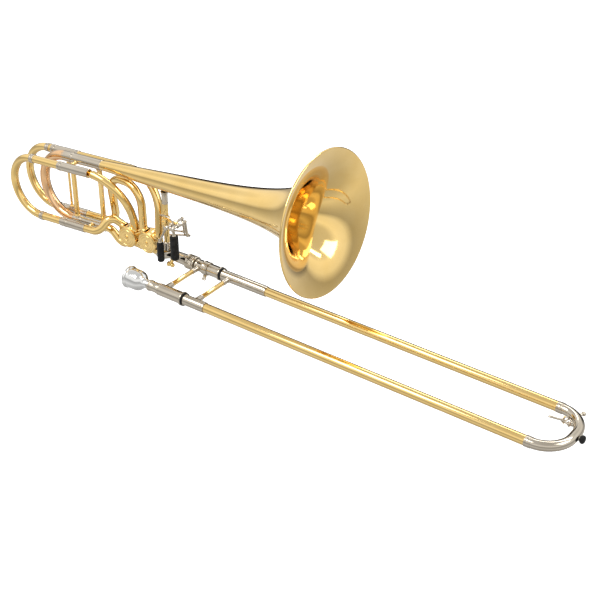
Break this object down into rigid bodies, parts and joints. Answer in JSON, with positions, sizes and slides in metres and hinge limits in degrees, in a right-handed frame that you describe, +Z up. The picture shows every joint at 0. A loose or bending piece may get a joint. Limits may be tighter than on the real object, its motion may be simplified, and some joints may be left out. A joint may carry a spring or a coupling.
{
  "type": "trombone",
  "caption": "Slide trombone with a flared bell, two rotary valves with looped slides in line under the bell, thumb levers and a U-shaped hand slide.",
  "frame": {"origin": "centre of the inner hand slide's brace, where the left hand holds the instrument", "axes": "+X forward along the hand slide to its bow, +Y from the mouthpiece tube to the bell side, +Z up to the bell"},
  "size_m": [1.1874, 0.2412, 0.3109],
  "materials": {
    "lacquered_brass": "clear lacquer over polished yellow brass",
    "rose_brass": "clear lacquer over polished rose brass",
    "nickel_silver": "polished warm grey nickel silver",
    "silver_plate": "mirror-polished silver plate",
    "black_rubber": "smooth semi-matt black rubber",
    "cork": "natural cork"
  },
  "bodies": {
    "frame": {"bell": "lacquered_brass", "bell_brace": "lacquered_brass", "cork_barrel_a": "nickel_silver", "cork_barrel_b": "nickel_silver", "f_lower_sleeve": "nickel_silver", "f_return_crook": "lacquered_brass", "f_strut": "lacquered_brass", "f_upper_crook": "lacquered_brass", "f_upper_sleeve": "nickel_silver", "front_strut": "lacquered_brass", "gb_lower_crook": "lacquered_brass", "gb_lower_sleeve": "nickel_silver", "gb_lower_stay": "lacquered_brass", "gb_upper_crook": "lacquered_brass", "gb_upper_sleeve": "nickel_silver", "gb_upper_stay": "lacquered_brass", "inner_brace": "lacquered_brass", "inner_tube_a": "nickel_silver", "inner_tube_b": "nickel_silver", "lever_bracket": "lacquered_brass", "main_crook": "lacquered_brass", "main_lower_sleeve": "nickel_silver", "main_upper_sleeve": "nickel_silver", "mouthpiece_receiver": "nickel_silver", "neck_receiver": "nickel_silver", "neckpipe": "nickel_silver", "rear_strut": "lacquered_brass", "rotor_cap_f": "lacquered_brass", "rotor_cap_gb": "lacquered_brass", "rotor_casing_f": "lacquered_brass", "rotor_casing_gb": "lacquered_brass", "rotor_link": "lacquered_brass"},
    "outer_slide": {"outer_tube_a": "lacquered_brass", "outer_tube_b": "lacquered_brass", "outer_sleeve_a": "nickel_silver", "outer_sleeve_b": "nickel_silver", "outer_brace": "lacquered_brass", "slide_bow": "nickel_silver", "bow_ferrule_a": "nickel_silver", "bow_ferrule_b": "nickel_silver", "bow_bumper": "black_rubber", "water_key_seat": "nickel_silver"},
    "water_key": {"water_key_lever": "nickel_silver", "water_key_cork": "cork"},
    "slide_lock": {"slide_lock_ring": "nickel_silver"},
    "bell_nut": {"bell_lock_nut": "nickel_silver"},
    "mouthpiece": {"mouthpiece": "silver_plate"},
    "main_slide": {"main_bow": "rose_brass", "main_upper_leg": "nickel_silver", "main_lower_leg": "nickel_silver"},
    "gb_slide": {"gb_slide": "lacquered_brass"},
    "f_slide": {"f_slide": "lacquered_brass"},
    "rotor_f": {"rotor_f": "lacquered_brass"},
    "rotor_gb": {"rotor_gb": "lacquered_brass"},
    "lever_f": {"lever_f": "nickel_silver", "lever_grip_f": "black_rubber"},
    "lever_gb": {"lever_gb": "nickel_silver", "lever_grip_gb": "black_rubber"},
    "linkage_f": {"linkage_f": "nickel_silver"},
    "linkage_gb": {"linkage_gb": "nickel_silver"}
  },
  "joints": [
    {"name": "hand_slide", "type": "slide", "parent": "frame", "child": "outer_slide", "axis": [1, 0, 0], "range_m": [0, 0.6]},
    {"name": "water_key_press", "type": "hinge", "parent": "outer_slide", "child": "water_key", "pos_m": [0.701, 0.026, 0], "axis": [0, 0, -1], "range_deg": [0, 20], "stiffness_Nm_per_rad": 0.05, "springref_deg": -28.65},
    {"name": "slide_lock_turn", "type": "hinge", "parent": "frame", "child": "slide_lock", "pos_m": [0.0075, 0.0495, 0], "axis": [1, 0, 0], "range_deg": [0, 40]},
    {"name": "bell_nut_turn", "type": "hinge", "parent": "frame", "child": "bell_nut", "pos_m": [-0.0285, 0.0495, 0], "axis": [1, 0, 0], "range_deg": [0, 360]},
    {"name": "mouthpiece_pull", "type": "slide", "parent": "frame", "child": "mouthpiece", "axis": [-1, 0, 0], "range_m": [0, 0.03]},
    {"name": "main_slide_pull", "type": "slide", "parent": "frame", "child": "main_slide", "axis": [-0.9963, 0, -0.0854], "range_m": [0, 0.045]},
    {"name": "gb_slide_pull", "type": "slide", "parent": "frame", "child": "gb_slide", "axis": [-0.9963, 0, -0.0854], "range_m": [0, 0.055]},
    {"name": "f_slide_pull", "type": "slide", "parent": "frame", "child": "f_slide", "axis": [-0.9963, 0, -0.0854], "range_m": [0, 0.045]},
    {"name": "lever_f_press", "type": "hinge", "parent": "frame", "child": "lever_f", "pos_m": [-0.044, 0.03, 0.066], "axis": [0, -1, 0], "range_deg": [0, 14], "stiffness_Nm_per_rad": 0.25, "springref_deg": -28.65},
    {"name": "lever_gb_press", "type": "hinge", "parent": "frame", "child": "lever_gb", "pos_m": [-0.058, 0.03, 0.064], "axis": [0, -1, 0], "range_deg": [0, 14], "stiffness_Nm_per_rad": 0.25, "springref_deg": -28.65},
    {"name": "rotor_f_turn", "type": "hinge", "parent": "frame", "child": "rotor_f", "pos_m": [-0.11309, 0, 0.01223], "axis": [0, 1, 0], "range_deg": [0, 90]},
    {"name": "rotor_gb_turn", "type": "hinge", "parent": "frame", "child": "rotor_gb", "pos_m": [-0.15992, 0, 0.00821], "axis": [0, 1, 0], "range_deg": [0, 90]},
    {"name": "linkage_f_swing", "type": "hinge", "parent": "lever_f", "child": "linkage_f", "pos_m": [-0.04, 0.0661, 0.039], "axis": [0, 1, 0], "range_deg": [0, 14]},
    {"name": "linkage_gb_swing", "type": "hinge", "parent": "lever_gb", "child": "linkage_gb", "pos_m": [-0.054, 0.0746, 0.037], "axis": [0, 1, 0], "range_deg": [0, 14]}
  ],
  "couplings": [
    {"joint": "rotor_f_turn", "follows": "lever_f_press", "ratio": 6.4286},
    {"joint": "rotor_gb_turn", "follows": "lever_gb_press", "ratio": 6.4286},
    {"joint": "linkage_f_swing", "follows": "lever_f_press", "ratio": 1},
    {"joint": "linkage_gb_swing", "follows": "lever_gb_press", "ratio": 1}
  ]
}
